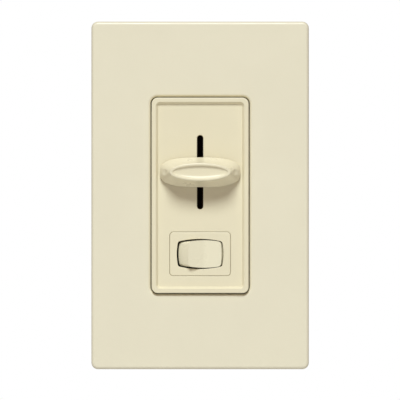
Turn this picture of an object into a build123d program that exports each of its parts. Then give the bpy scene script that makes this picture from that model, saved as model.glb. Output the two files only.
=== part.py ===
from build123d import *
import os
from math import atan, cos, degrees, pi, radians, sin, sqrt

# Slide dimmer for a wall box: slide knob, rocker switch, screwless wall plate and the works behind them.
#
# Frame: X to the viewer's right, Y into the wall, Z up. The origin is the middle of the wall plate's rear rim,
# so the wall surface is the plane Y = 0. A height here is a distance in front of the wall, that is minus Y, so
# what sits inside the wall box has a negative height. Lengths are millimetres and angles are degrees.

os.makedirs("parts", exist_ok=True)

# Wall plate, 1-gang screwless
PLATE_WIDTH = 74.6
PLATE_LENGTH = 119.1
PLATE_DEPTH = 7.6
PLATE_WALL = 1.8
PLATE_CORNER_R = 2.4
PLATE_EDGE_R = 1.1
PLATE_DRAFT = 1.5

# Face of the dimmer, which fills the plate's window
FACE_WIDTH = 33.1
FACE_LENGTH = 66.7
FACE_CORNER_R = 2.1
FACE_HEIGHT = 8.8
FACE_WALL = 1.5
FACE_EDGE_R = 0.3
WINDOW_GAP = 0.35
WINDOW_EDGE_R = 1.0
BORDER_WIDTH = 1.45
RECESS_DEPTH = 1.15
RECESS_SLOPE = 0.8
RECESS_CORNER_R = 0.6
FLANGE_REACH = 1.45
FLANGE_THICKNESS = 1.0

# Mounting strap, to the common North American wall box
STRAP_BACK = 0.15
STRAP_THICKNESS = 1.5
FIN_WIDTH = 54.0
FIN_LENGTH = 62.0
STRAP_WIDTH = 40.0
STRAP_LENGTH = 84.0
TONGUE_WIDTH = 20.0
TONGUE_LENGTH = 105.0
EAR_R = 5.0
EAR_AT = (13.5, 46.5)
BOX_SCREW_Z = 41.67
PLATE_SCREW_Z = 48.4
GROUND_AT = (-12.5, -38.5)
HOOK_AT = (9.0, 30.4)
HOOK_WIDTH = 4.0

# Screws
THREAD_R = 1.75
SLIT_WIDTH = 0.9
NECK_R = 1.4
TAPPED_R = 1.78
BOX_HEAD_R = 3.15
BOX_HEAD_TALL = 2.1
BOX_HEAD_EDGE_R = 0.9
FLAT_HEAD_R = 3.0
BOX_SCREW_TIP = -22.8
PLATE_SCREW_TIP = -6.0

# Slide knob, lever and potentiometer
SLOT_WIDTH = 2.15
SLOT_LENGTH = 25.3
SLIDE_Z = 7.9
SLIDE_TRAVEL = 20.0
LEVER_THICKNESS = 1.2
LEVER_TALL = 4.6
LEVER_TOP = 14.0
KNOB_FRONT = 16.3
KNOB_LIFT = 0.45
KNOB_HALF_LENGTH = 13.7
KNOB_HALF_TALL = 5.08
RIM_HALF_LENGTH = 10.3
RIM_HALF_TALL = 3.05
DISH_HALF_LENGTH = 9.3
DISH_HALF_TALL = 2.3
DISH_DEPTH = 0.85
POT_WIDTH = 9.0
POT_LENGTH = 35.0
POT_FRONT = -3.2
POT_SHEET = 0.5
POT_BOARD_FRONT = -8.7
TRACK_X = 1.9
TRACK_THICKNESS = 0.06

# Rocker switch
SWITCH_Z = -20.0
INSERT_WIDTH = 20.7
INSERT_CORNER_R = 1.2
SWITCH_WIDTH = 24.0
SWITCH_LENGTH = 14.9
SWITCH_GAP = 0.1
SWITCH_PROUD = 0.12
SWITCH_EDGE_R = 0.3
PANEL_EDGE_R = 0.2
OPENING_HALF = (7.97, 5.12)
OPENING_SAG = (0.49, 0.89)
ROCKER_RADIUS = 10.54
ROCKER_TILT = 10.4
RIDGE_U = 5.8
SKIRT_W = 4.35
CREASE_W = 7.74
ROCKER_HALF_TALL = 4.7
ROCKER_SAG = (0.4, 0.75)
ROCKER_CORNER_R = 1.1
SHOULDER_W = 5.2
SHOULDER_U = 8.4
ROCKER_WALL = 1.2
PIN_R = 1.2
PIN_REACH = 7.0
PIVOT_DEPTH = 7.77
CAVITY_GAP = 0.41
CAVITY_HALF_TALL = 5.6
PLUNGER_R = 1.4
PLUNGER_REACH = 6.2
BLADE_DROP = 7.3
BLADE_TOP = 1.05
BLADE_TILT = 6.0
BLADE_THICKNESS = 0.5
CONTACT_X = 5.2
FIT = 0.05

# Circuit board and its parts
BOARD_FRONT = -10.0
BOARD_THICKNESS = 1.6
BOARD_WIDTH = 36.0
BOARD_LENGTH = 64.0
LEAD_R = 0.35
HOLE_R = 0.45
CHOKE_AT = (6.0, 17.0)
CHOKE_FRONT = -13.0
FILM_AT = (-12.0, 15.0)
TIMING_AT = ((7.0, -17.0), (7.0, -23.0))
RESISTOR_AT = ((-11.0, -18.0), (-11.0, -22.0), (-11.0, -26.0))
DIAC_AT = (6.0, -29.0)
TRIAC_X = -12.5
TRIAC_RIVET_Z = 15.5
TRIAC_LEG_Z = 0.8
TRIAC_LEG_PITCH = 2.54

# Rear case and its wire terminals
CASE_WIDTH = 40.0
CASE_LENGTH = 68.0
CASE_BACK = -28.0
CASE_WALL = 1.6
POST_AT = (16.4, 30.4)
POST_R = 3.0
TERMINAL_Z = -8.0
TERMINAL_HEIGHT = -19.75
POCKET_HALF = 5.5
POCKET_FLOOR = 17.2
POCKET_FRONT = -13.5
POCKET_BACK = -26.0

# Derived sizes
STRAP_FRONT = STRAP_BACK + STRAP_THICKNESS
PANEL_FRONT = FACE_HEIGHT - RECESS_DEPTH
PANEL_BACK = PANEL_FRONT - FACE_WALL
INNER_WIDTH = PLATE_WIDTH - 2 * PLATE_WALL
INNER_LENGTH = PLATE_LENGTH - 2 * PLATE_WALL
WINDOW_WIDTH = FACE_WIDTH + 2 * WINDOW_GAP
WINDOW_LENGTH = FACE_LENGTH + 2 * WINDOW_GAP
BOARD_BACK = BOARD_FRONT - BOARD_THICKNESS
SWITCH_FRONT = PANEL_FRONT + SWITCH_PROUD
PIVOT_HEIGHT = SWITCH_FRONT - PIVOT_DEPTH
BLADE_AXIS = PIVOT_HEIGHT - BLADE_DROP
RIDGE_W = sqrt(ROCKER_RADIUS**2 - RIDGE_U**2)
BOX_SCREWS = ((0, -BOX_SCREW_Z), (0, BOX_SCREW_Z))
PLATE_SCREWS = ((0, -PLATE_SCREW_Z), (0, PLATE_SCREW_Z))
ENDS = (-1, 1)


def at(height):
    """Plane this far in front of the wall: its x is X, its y is Z, and it extrudes towards the viewer."""
    return Plane.XZ.offset(height)


def hinged(height, z, tilt=0.0):
    """Cross-section at this Z of a piece that turns about a line at this height: y points to the front.

    A positive tilt turns the right-hand side into the wall. It extrudes downwards.
    """
    return Plane(origin=(0, -height, z), x_dir=(cos(radians(tilt)), sin(radians(tilt)), 0), z_dir=(0, 0, -1))


def facing(height, z, tilt):
    """Plane through the same hinge line that faces the front of the tilted piece: its y is Z."""
    turn = radians(tilt)
    return Plane(origin=(0, -height, z), x_dir=(cos(turn), sin(turn), 0), z_dir=(sin(turn), -cos(turn), 0))


def beside(x):
    """Upright plane at this X: its x is the height, its y is Z, and it extrudes towards -X."""
    return Plane(origin=(x, 0, 0), x_dir=(0, -1, 0), z_dir=(-1, 0, 0))


def corners(x, z):
    """The four points (+-x, +-z)."""
    return [(sx * x, sz * z) for sx in (-1, 1) for sz in (-1, 1)]


def slab(low, high, width, length, corner_r=0.0, centres=((0, 0),), mode=Mode.ADD, taper=0.0):
    """Block parallel to the wall between two heights, at each centre (x, z)."""
    with BuildSketch(at(low)) as outline:
        with Locations(*centres):
            if corner_r:
                RectangleRounded(width, length, corner_r)
            else:
                Rectangle(width, length)
    extrude(outline.sketch, amount=high - low, taper=taper, mode=mode)


def disc(low, high, radius, centres=((0, 0),), mode=Mode.ADD):
    """Cylinder across the wall between two heights, at each centre (x, z)."""
    with BuildSketch(at(low)) as outline:
        with Locations(*centres):
            Circle(radius)
    extrude(outline.sketch, amount=high - low, mode=mode)


def slot(low, high, length, width, centres, upright, mode=Mode.SUBTRACT):
    """Round-ended slot between two heights, at each centre (x, z), upright or lying."""
    with BuildSketch(at(low)) as outline:
        with Locations(*centres):
            SlotOverall(length, width, rotation=90 if upright else 0)
    extrude(outline.sketch, amount=high - low, mode=mode)


def prism(plane, points, amount, mode=Mode.ADD):
    """Straight-edged profile extruded from its plane."""
    with BuildSketch(plane) as outline:
        with BuildLine():
            Polyline(*points, close=True)
        make_face()
    extrude(outline.sketch, amount=amount, mode=mode)


def barrel(half, sag, corner_r):
    """Draw a rectangle whose four sides bow outwards by the sags, with rounded corners or sharp ones."""
    corner = (half[0] - sag[0], half[1] - sag[1])
    with BuildLine() as bow:
        ThreePointArc((-corner[0], corner[1]), (0, half[1]), corner)
        ThreePointArc(corner, (half[0], 0), (corner[0], -corner[1]))
        ThreePointArc((corner[0], -corner[1]), (0, -half[1]), (-corner[0], -corner[1]))
        ThreePointArc((-corner[0], -corner[1]), (-half[0], 0), (-corner[0], corner[1]))
    bowed = make_face(bow.edges())
    if corner_r:
        fillet(bowed.vertices(), corner_r)


def edges_at(piece, height, half_width=PLATE_WIDTH, half_length=PLATE_LENGTH):
    """Edges of the piece in being that lie wholly at this height and inside a box of these half sizes."""
    def flat(edge):
        box = edge.bounding_box()
        centre = edge.center(CenterOf.BOUNDING_BOX)
        in_plane = abs(box.max.Y + height) < 1e-3 and abs(box.min.Y + height) < 1e-3
        return in_plane and abs(centre.X) < half_width and abs(centre.Z) < half_length
    return piece.edges().filter_by(flat)


# ---- Trim ----

# Wall plate: a shallow shell, open at the back, with a collared window, four catches and a pry slot
COLLAR_WALL = 1.3
COLLAR_BACK = 3.5
CATCH_X = 20.0
CATCH_LENGTH = 12.0
CATCH_REACH = 0.85
CATCH_FRONT = 2.1
PRY_WIDTH = 9.0
PRY_DEPTH = 0.9

with BuildPart() as wall_plate:
    slab(0, PLATE_DEPTH, PLATE_WIDTH, PLATE_LENGTH, PLATE_CORNER_R, taper=PLATE_DRAFT)
    fillet(edges_at(wall_plate, PLATE_DEPTH), PLATE_EDGE_R)
    slab(0, PLATE_DEPTH - PLATE_WALL, INNER_WIDTH, INNER_LENGTH, 1.0, mode=Mode.SUBTRACT)
    slab(COLLAR_BACK, PLATE_DEPTH - PLATE_WALL, WINDOW_WIDTH + 2 * COLLAR_WALL,
         WINDOW_LENGTH + 2 * COLLAR_WALL, FACE_CORNER_R + WINDOW_GAP + COLLAR_WALL)
    slab(0, PLATE_DEPTH, WINDOW_WIDTH, WINDOW_LENGTH, FACE_CORNER_R + WINDOW_GAP, mode=Mode.SUBTRACT)
    fillet(edges_at(wall_plate, PLATE_DEPTH, FACE_WIDTH * 0.6, FACE_LENGTH * 0.6), WINDOW_EDGE_R)
    for end in ENDS:
        for x in (-CATCH_X, CATCH_X):
            wall = end * (INNER_LENGTH / 2 + 0.1)
            tip = end * (INNER_LENGTH / 2 - CATCH_REACH)
            prism(beside(x + CATCH_LENGTH / 2),
                  ((CATCH_FRONT, wall), (CATCH_FRONT, tip), (CATCH_FRONT - 0.5, tip), (CATCH_FRONT - 1.5, wall)),
                  CATCH_LENGTH)
    slab(0, PRY_DEPTH, PRY_WIDTH, 2 * PLATE_WALL, centres=((0, -PLATE_LENGTH / 2),), mode=Mode.SUBTRACT)
wall_plate.part.label = "wall_plate"
export_step(wall_plate.part, "parts/wall_plate.step")

# Plate adapter: screwed to the strap, it carries the catches' ridges
ADAPTER_BACK = STRAP_FRONT + FIT
ADAPTER_FRONT = ADAPTER_BACK + 1.5
ADAPTER_WIDTH = INNER_WIDTH - 2 * 1.25
ADAPTER_LENGTH = INNER_LENGTH - 2 * 1.25
ADAPTER_SKIRT = 1.5
RIDGE_REACH = 0.75
HEAD_DEPTH = 1.25
HEAD_TAPER = degrees(atan((FLAT_HEAD_R - THREAD_R) / HEAD_DEPTH))
SKIRT_BACK = 0.35

with BuildPart() as plate_adapter:
    slab(SKIRT_BACK, ADAPTER_FRONT, ADAPTER_WIDTH, ADAPTER_LENGTH, 2.0)
    fillet(edges_at(plate_adapter, ADAPTER_FRONT), 0.5)
    slab(SKIRT_BACK, ADAPTER_BACK, ADAPTER_WIDTH - 2 * ADAPTER_SKIRT, ADAPTER_LENGTH - 2 * ADAPTER_SKIRT, 0.8,
         mode=Mode.SUBTRACT)
    slab(ADAPTER_BACK, ADAPTER_FRONT, FACE_WIDTH + 4, FACE_LENGTH + 4, 2.5, mode=Mode.SUBTRACT)
    slot(ADAPTER_BACK, ADAPTER_FRONT, 2 * (BOX_SCREW_Z - 30 + 3.4), 6.8, ((0, -30), (0, 30)), True)
    disc(ADAPTER_BACK, ADAPTER_FRONT, TAPPED_R + 0.1, PLATE_SCREWS, Mode.SUBTRACT)
    for end in ENDS:
        with BuildSketch(at(ADAPTER_FRONT)):
            with Locations((0, end * PLATE_SCREW_Z)):
                Circle(FLAT_HEAD_R + FIT)
        extrude(amount=-HEAD_DEPTH, taper=HEAD_TAPER, mode=Mode.SUBTRACT)
        for x in (-CATCH_X, CATCH_X):
            face = end * (ADAPTER_LENGTH / 2 - 0.1)
            tip = end * (ADAPTER_LENGTH / 2 + RIDGE_REACH)
            prism(beside(x + CATCH_LENGTH / 2 - 1),
                  ((CATCH_FRONT + 0.1, face), (CATCH_FRONT + 0.1, tip), (CATCH_FRONT + 0.45, tip),
                   (ADAPTER_FRONT - 0.35, face)), CATCH_LENGTH - 2)
plate_adapter.part.label = "plate_adapter"
export_step(plate_adapter.part, "parts/plate_adapter.step")

# Adapter screws: flat heads, cut with a straight slot
with BuildPart() as adapter_screws:
    for end in ENDS:
        with BuildSketch(at(ADAPTER_FRONT - 0.05)):
            with Locations((0, end * PLATE_SCREW_Z)):
                Circle(FLAT_HEAD_R - 0.05)
        extrude(amount=-HEAD_DEPTH, taper=HEAD_TAPER)
    disc(PLATE_SCREW_TIP, ADAPTER_FRONT - HEAD_DEPTH, THREAD_R, PLATE_SCREWS)
    chamfer(edges_at(adapter_screws, PLATE_SCREW_TIP), 0.5)
    slab(ADAPTER_FRONT - 0.75, ADAPTER_FRONT, 3 * FLAT_HEAD_R, SLIT_WIDTH, centres=PLATE_SCREWS,
         mode=Mode.SUBTRACT)
adapter_screws.part.label = "adapter_screws"
export_step(adapter_screws.part, "parts/adapter_screws.step")

# ---- Strap ----

FIN_SCORE_X = (-22.0, 22.0)
EAR_SCORE_X = 9.6
SCORE_WIDTH = 0.6
SCORE_BACK = STRAP_FRONT - 0.5
EAR_HOLE_R = 2.1
BOX_SLOT = (7.0, 4.0)
LEVER_WINDOW = (4.0, 28.5)
ROOM = 0.3

with BuildPart() as mounting_strap:
    slab(STRAP_BACK, STRAP_FRONT, FIN_WIDTH, FIN_LENGTH, 2.0)
    slab(STRAP_BACK, STRAP_FRONT, STRAP_WIDTH, STRAP_LENGTH, 2.0)
    slab(STRAP_BACK, STRAP_FRONT, TONGUE_WIDTH, TONGUE_LENGTH, 3.0)
    disc(STRAP_BACK, STRAP_FRONT, EAR_R, corners(*EAR_AT))
    for x in FIN_SCORE_X:
        slab(SCORE_BACK, STRAP_FRONT, SCORE_WIDTH, FIN_LENGTH, centres=((x, 0),), mode=Mode.SUBTRACT)
    for score in corners(EAR_SCORE_X, EAR_AT[1]):
        slab(SCORE_BACK, STRAP_FRONT, SCORE_WIDTH, 2 * EAR_R, centres=(score,), mode=Mode.SUBTRACT)
    disc(STRAP_BACK, STRAP_FRONT, TAPPED_R, (*PLATE_SCREWS, GROUND_AT), Mode.SUBTRACT)
    disc(STRAP_BACK, STRAP_FRONT, TAPPED_R + FIT, ((TRIAC_X, TRIAC_RIVET_Z),), Mode.SUBTRACT)
    disc(STRAP_BACK, STRAP_FRONT, EAR_HOLE_R, corners(*EAR_AT), Mode.SUBTRACT)
    slot(STRAP_BACK, STRAP_FRONT, *BOX_SLOT, BOX_SCREWS, False)
    slab(STRAP_BACK, STRAP_FRONT, *LEVER_WINDOW, 1.5, ((0, SLIDE_Z),), Mode.SUBTRACT)
    slab(STRAP_BACK, STRAP_FRONT, SWITCH_WIDTH + 2 * ROOM, SWITCH_LENGTH + 2 * ROOM, 0.8, ((0, SWITCH_Z),),
         Mode.SUBTRACT)
    slab(STRAP_BACK, STRAP_FRONT, HOOK_WIDTH + 1, 2.0, 0.5, corners(*HOOK_AT), Mode.SUBTRACT)
    disc(STRAP_BACK, STRAP_FRONT, 1.1, corners(*POST_AT), Mode.SUBTRACT)
    for post in corners(*POST_AT):
        with BuildSketch(at(STRAP_FRONT)):
            with Locations(post):
                Circle(2.05)
        extrude(amount=-0.8, taper=45, mode=Mode.SUBTRACT)
mounting_strap.part.label = "mounting_strap"
export_step(mounting_strap.part, "parts/mounting_strap.step")

# Box screws: pan head, a necked shank that the fibre square holds, and a thread that starts behind it
THREAD_FRONT = -0.9

with BuildPart() as box_screws:
    disc(STRAP_FRONT, STRAP_FRONT + BOX_HEAD_TALL, BOX_HEAD_R, BOX_SCREWS)
    fillet(edges_at(box_screws, STRAP_FRONT + BOX_HEAD_TALL), BOX_HEAD_EDGE_R)
    disc(THREAD_FRONT, STRAP_FRONT, NECK_R, BOX_SCREWS)
    disc(BOX_SCREW_TIP, THREAD_FRONT, THREAD_R, BOX_SCREWS)
    chamfer(edges_at(box_screws, BOX_SCREW_TIP), 0.6)
    slab(STRAP_FRONT + 1.0, STRAP_FRONT + BOX_HEAD_TALL, 3 * BOX_HEAD_R, SLIT_WIDTH, centres=BOX_SCREWS,
         mode=Mode.SUBTRACT)
box_screws.part.label = "box_screws"
export_step(box_screws.part, "parts/box_screws.step")

# Fibre squares that keep the box screws from dropping out
RETAINER_BACK = STRAP_BACK - 0.6
RETAINER_SIDE = 9.0

with BuildPart() as screw_retainers:
    slab(RETAINER_BACK, STRAP_BACK, RETAINER_SIDE, RETAINER_SIDE, 0.5, BOX_SCREWS)
    disc(RETAINER_BACK, STRAP_BACK, NECK_R + FIT, BOX_SCREWS, Mode.SUBTRACT)
screw_retainers.part.label = "screw_retainers"
export_step(screw_retainers.part, "parts/screw_retainers.step")

# Ground screw: hexagon washer head behind the strap, slotted
WASHER_BACK = STRAP_BACK - 0.7
HEX_BACK = WASHER_BACK - 2.2
HEX_R = 3.0

with BuildPart() as ground_screw:
    disc(WASHER_BACK, STRAP_BACK, HEX_R + 0.2, (GROUND_AT,))
    with BuildSketch(at(HEX_BACK)):
        with Locations(GROUND_AT):
            RegularPolygon(HEX_R, 6)
    extrude(amount=WASHER_BACK - HEX_BACK)
    slab(HEX_BACK, HEX_BACK + 0.9, 3 * HEX_R, SLIT_WIDTH, centres=(GROUND_AT,), mode=Mode.SUBTRACT)
    disc(STRAP_BACK, STRAP_FRONT - 0.05, THREAD_R, (GROUND_AT,))
ground_screw.part.label = "ground_screw"
export_step(ground_screw.part, "parts/ground_screw.step")

# ---- Face ----

RECESS_WIDTH = FACE_WIDTH - 2 * (BORDER_WIDTH + RECESS_SLOPE)
RECESS_LENGTH = FACE_LENGTH - 2 * (BORDER_WIDTH + RECESS_SLOPE)
HOOK_TIP = -1.5
HOOK_HALF = 0.7

with BuildPart() as face_bezel:
    slab(STRAP_FRONT, FACE_HEIGHT, FACE_WIDTH, FACE_LENGTH, FACE_CORNER_R)
    fillet(edges_at(face_bezel, FACE_HEIGHT), FACE_EDGE_R)
    slab(STRAP_FRONT, STRAP_FRONT + FLANGE_THICKNESS, FACE_WIDTH + 2 * FLANGE_REACH,
         FACE_LENGTH + 2 * FLANGE_REACH, FACE_CORNER_R)
    slab(STRAP_FRONT, PANEL_BACK, FACE_WIDTH - 2 * FACE_WALL, FACE_LENGTH - 2 * FACE_WALL, 0.8,
         mode=Mode.SUBTRACT)
    slab(PANEL_FRONT, FACE_HEIGHT, RECESS_WIDTH, RECESS_LENGTH, RECESS_CORNER_R, mode=Mode.SUBTRACT,
         taper=-degrees(atan(RECESS_SLOPE / RECESS_DEPTH)))
    slot(PANEL_BACK, PANEL_FRONT, SLOT_LENGTH, SLOT_WIDTH, ((0, SLIDE_Z),), True)
    chamfer(edges_at(face_bezel, PANEL_FRONT, SLOT_WIDTH, FACE_LENGTH / 4), 0.2)
    slab(PANEL_BACK, PANEL_FRONT, INSERT_WIDTH + 2 * SWITCH_GAP, SWITCH_LENGTH + 2 * SWITCH_GAP,
         INSERT_CORNER_R + SWITCH_GAP, ((0, SWITCH_Z),), Mode.SUBTRACT)
    low_edges = edges_at(face_bezel, PANEL_FRONT, INSERT_WIDTH, FACE_LENGTH * 0.42)
    fillet(low_edges.filter_by(lambda edge: edge.center().Z < SWITCH_Z / 2), PANEL_EDGE_R)
    for end in ENDS:
        for x in (-HOOK_AT[0], HOOK_AT[0]):
            inner = end * (HOOK_AT[1] - HOOK_HALF)
            outer = end * (HOOK_AT[1] + HOOK_HALF)
            barb = end * (HOOK_AT[1] + 1.4)
            prism(beside(x + HOOK_WIDTH / 2),
                  ((PANEL_BACK + 0.1, inner), (HOOK_TIP, inner), (HOOK_TIP, outer), (HOOK_TIP + 1.2, barb),
                   (STRAP_BACK - 0.1, barb), (STRAP_BACK - 0.1, outer), (PANEL_BACK + 0.1, outer)),
                  HOOK_WIDTH)
face_bezel.part.label = "face_bezel"
export_step(face_bezel.part, "parts/face_bezel.step")

# Slot shield: thin fibre strip that hides the works behind the slot
SHIELD_FRONT = PANEL_BACK - FIT
SHIELD_BACK = SHIELD_FRONT - 0.5

with BuildPart() as slot_shield:
    slab(SHIELD_BACK, SHIELD_FRONT, 7.0, 32.0, 0.6, ((0, SLIDE_Z),))
    slot(SHIELD_BACK, SHIELD_FRONT, SLIDE_TRAVEL + LEVER_TALL + 0.8, LEVER_THICKNESS + 2 * ROOM,
         ((0, SLIDE_Z),), True)
slot_shield.part.label = "slot_shield"
export_step(slot_shield.part, "parts/slot_shield.step")

# ---- Slide ----

KNOB_BACK = PANEL_FRONT + KNOB_LIFT
KNOB_SKIRT = KNOB_BACK + 1.0
KNOB_POINTS = 40
SCOOP_R = 6.0
SCOOP_DEPTH = 0.35
DISH_STEPS = (0, 0.4, 0.7, 0.9, 0.99)
GRIP_BACK = KNOB_FRONT - 4.4
RIM_OUTER_R = 0.5
RIM_INNER_R = 0.15


def oval(half_x, half_z, power):
    """Closed superellipse sketch: a power of 2 is an ellipse and a higher power is squarer."""
    def point(i):
        turn = 2 * pi * (i + 0.5) / KNOB_POINTS
        x, z = cos(turn), sin(turn)
        stretch = (abs(x) ** power + abs(z) ** power) ** (-1 / power)
        return half_x * x * stretch, half_z * z * stretch
    with BuildLine() as rim:
        Spline(*[point(i) for i in range(KNOB_POINTS)], periodic=True)
    return make_face(rim.edges())


def knob_section(share):
    """Half length, half height and squareness of the knob at a share of the way from its skirt to its rim."""
    length = KNOB_HALF_LENGTH + (RIM_HALF_LENGTH - KNOB_HALF_LENGTH) * share
    tall = KNOB_HALF_TALL + (RIM_HALF_TALL - KNOB_HALF_TALL) * share - 0.35 * sin(pi * share)
    return length, tall, 2.9 - 0.9 * share


# Knob: a flared skirt drawn up to an oval rim, dished on top, with a thumb scoop at each end
with BuildPart() as slider_knob:
    with BuildSketch(at(KNOB_BACK)):
        oval(*knob_section(0))
    extrude(amount=KNOB_SKIRT - KNOB_BACK)
    for share in (0, 0.33, 0.67, 1):
        with BuildSketch(at(KNOB_SKIRT + share * (KNOB_FRONT - KNOB_SKIRT))):
            oval(*knob_section(share))
    loft()
    rise = KNOB_FRONT - KNOB_SKIRT
    run = KNOB_HALF_LENGTH - RIM_HALF_LENGTH
    slope_length = sqrt(rise**2 + run**2)
    for end in ENDS:
        out = SCOOP_R - SCOOP_DEPTH
        x = end * ((KNOB_HALF_LENGTH + RIM_HALF_LENGTH) / 2 + out * rise / slope_length)
        height = (KNOB_SKIRT + KNOB_FRONT) / 2 + out * run / slope_length
        with Locations((x, -height, 0)):
            Sphere(SCOOP_R, mode=Mode.SUBTRACT)
    for share in DISH_STEPS:
        spread = (1 - share**2) ** 0.25
        with BuildSketch(at(KNOB_FRONT - share * DISH_DEPTH)):
            Ellipse(DISH_HALF_LENGTH * spread, DISH_HALF_TALL * spread)
    loft(mode=Mode.SUBTRACT)
    fillet(edges_at(slider_knob, KNOB_FRONT).sort_by(SortBy.LENGTH)[-1], RIM_OUTER_R)
    fillet(edges_at(slider_knob, KNOB_FRONT).sort_by(SortBy.LENGTH)[0], RIM_INNER_R)
    slab(KNOB_BACK, GRIP_BACK, 20.5, 6.2, 1.2, mode=Mode.SUBTRACT, taper=12)
    slab(KNOB_BACK + 0.4, GRIP_BACK + 0.2, 3.4, 6.4, 0.5)
    slab(KNOB_BACK, LEVER_TOP + 0.1, LEVER_THICKNESS + FIT, LEVER_TALL + FIT, mode=Mode.SUBTRACT)
slider_knob.part = Pos(0, 0, SLIDE_Z) * slider_knob.part
slider_knob.part.label = "slider_knob"
export_step(slider_knob.part, "parts/slider_knob.step")

# Potentiometer frame: folded steel, open at the back, with a slot for the lever and two turned tabs
POT_BACK = BOARD_FRONT + 0.05
with BuildPart() as pot_frame:
    slab(POT_BACK, POT_FRONT, POT_WIDTH, POT_LENGTH, 0.6, ((0, SLIDE_Z),))
    slab(POT_BACK, POT_FRONT - POT_SHEET, POT_WIDTH - 2 * POT_SHEET, POT_LENGTH - 2 * POT_SHEET,
         centres=((0, SLIDE_Z),), mode=Mode.SUBTRACT)
    slot(POT_FRONT - POT_SHEET, POT_FRONT, 26.0, 2.0, ((0, SLIDE_Z),), True)
    for end in ENDS:
        slab(POT_BACK, POT_BACK + 3.0, 3.0, POT_SHEET + 0.2, centres=((0, SLIDE_Z + end * POT_LENGTH / 2),),
             mode=Mode.SUBTRACT)
pot_frame.part.label = "pot_frame"
export_step(pot_frame.part, "parts/pot_frame.step")

POT_LEGS = ((-TRACK_X, SLIDE_Z - 15.5), (TRACK_X, SLIDE_Z - 15.5), (-TRACK_X, SLIDE_Z + 15.5))
with BuildPart() as pot_track_board:
    slab(POT_BACK, POT_BOARD_FRONT, POT_WIDTH - 2 * POT_SHEET - 2 * FIT, POT_LENGTH - 2 * POT_SHEET - 2 * FIT,
         centres=((0, SLIDE_Z),))
    disc(POT_BACK, POT_BOARD_FRONT, HOLE_R, POT_LEGS, Mode.SUBTRACT)
pot_track_board.part.label = "pot_track_board"
export_step(pot_track_board.part, "parts/pot_track_board.step")

with BuildPart() as pot_tracks:
    slab(POT_BOARD_FRONT, POT_BOARD_FRONT + TRACK_THICKNESS, 1.6, 29.0,
         centres=((-TRACK_X, SLIDE_Z), (TRACK_X, SLIDE_Z)))
pot_tracks.part.label = "pot_tracks"
export_step(pot_tracks.part, "parts/pot_tracks.step")

with BuildPart() as pot_terminals:
    disc(BOARD_BACK - 1.0, POT_BOARD_FRONT, LEAD_R, POT_LEGS)
    disc(POT_BOARD_FRONT, POT_BOARD_FRONT + 0.25, 0.7, POT_LEGS)
pot_terminals.part.label = "pot_terminals"
export_step(pot_terminals.part, "parts/pot_terminals.step")

# Carriage: a block that runs in the frame and carries the lever through the slots to the knob
CARRIAGE_FRONT = POT_FRONT - POT_SHEET - 0.3
CARRIAGE_BACK = -7.4
with BuildPart() as pot_carriage:
    slab(CARRIAGE_BACK, CARRIAGE_FRONT, POT_WIDTH - 2 * POT_SHEET - 0.6, 9.0, 0.4, ((0, SLIDE_Z),))
    slab(CARRIAGE_FRONT, LEVER_TOP, LEVER_THICKNESS, LEVER_TALL, centres=((0, SLIDE_Z),))
    chamfer(edges_at(pot_carriage, LEVER_TOP), 0.3)
pot_carriage.part.label = "pot_carriage"
export_step(pot_carriage.part, "parts/pot_carriage.step")

# Wiper: spring strip under the carriage with two bowed fingers, one over each track
WIPER_SHEET = 0.2
WIPER_CLEAR = 0.1
with BuildPart() as pot_wiper:
    slab(CARRIAGE_BACK - WIPER_SHEET, CARRIAGE_BACK, 5.4, 7.5, centres=((0, SLIDE_Z),))
    low = POT_BOARD_FRONT + TRACK_THICKNESS + WIPER_CLEAR
    high = CARRIAGE_BACK - WIPER_SHEET
    for x in (-TRACK_X, TRACK_X):
        with BuildSketch(beside(x + 0.6)) as finger:
            with BuildLine():
                ThreePointArc((high, SLIDE_Z - 3.5), (low, SLIDE_Z), (high, SLIDE_Z + 3.5))
                Line((high, SLIDE_Z + 3.5), (high, SLIDE_Z + 3.1))
                ThreePointArc((high, SLIDE_Z + 3.1), (low + WIPER_SHEET, SLIDE_Z), (high, SLIDE_Z - 3.1))
                Line((high, SLIDE_Z - 3.1), (high, SLIDE_Z - 3.5))
            make_face()
        extrude(finger.sketch, amount=1.2)
pot_wiper.part.label = "pot_wiper"
export_step(pot_wiper.part, "parts/pot_wiper.step")

# ---- Rocker switch ----

# Surround: an insert that shows round the rocker, on a wider body with a part-round bay for it to swing in
SWITCH_BACK = -8.75
LIP = 0.35
LIP_BACK = SWITCH_FRONT - LIP
CAVITY_R = ROCKER_RADIUS + CAVITY_GAP
bay_top = LIP_BACK - PIVOT_HEIGHT

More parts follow.
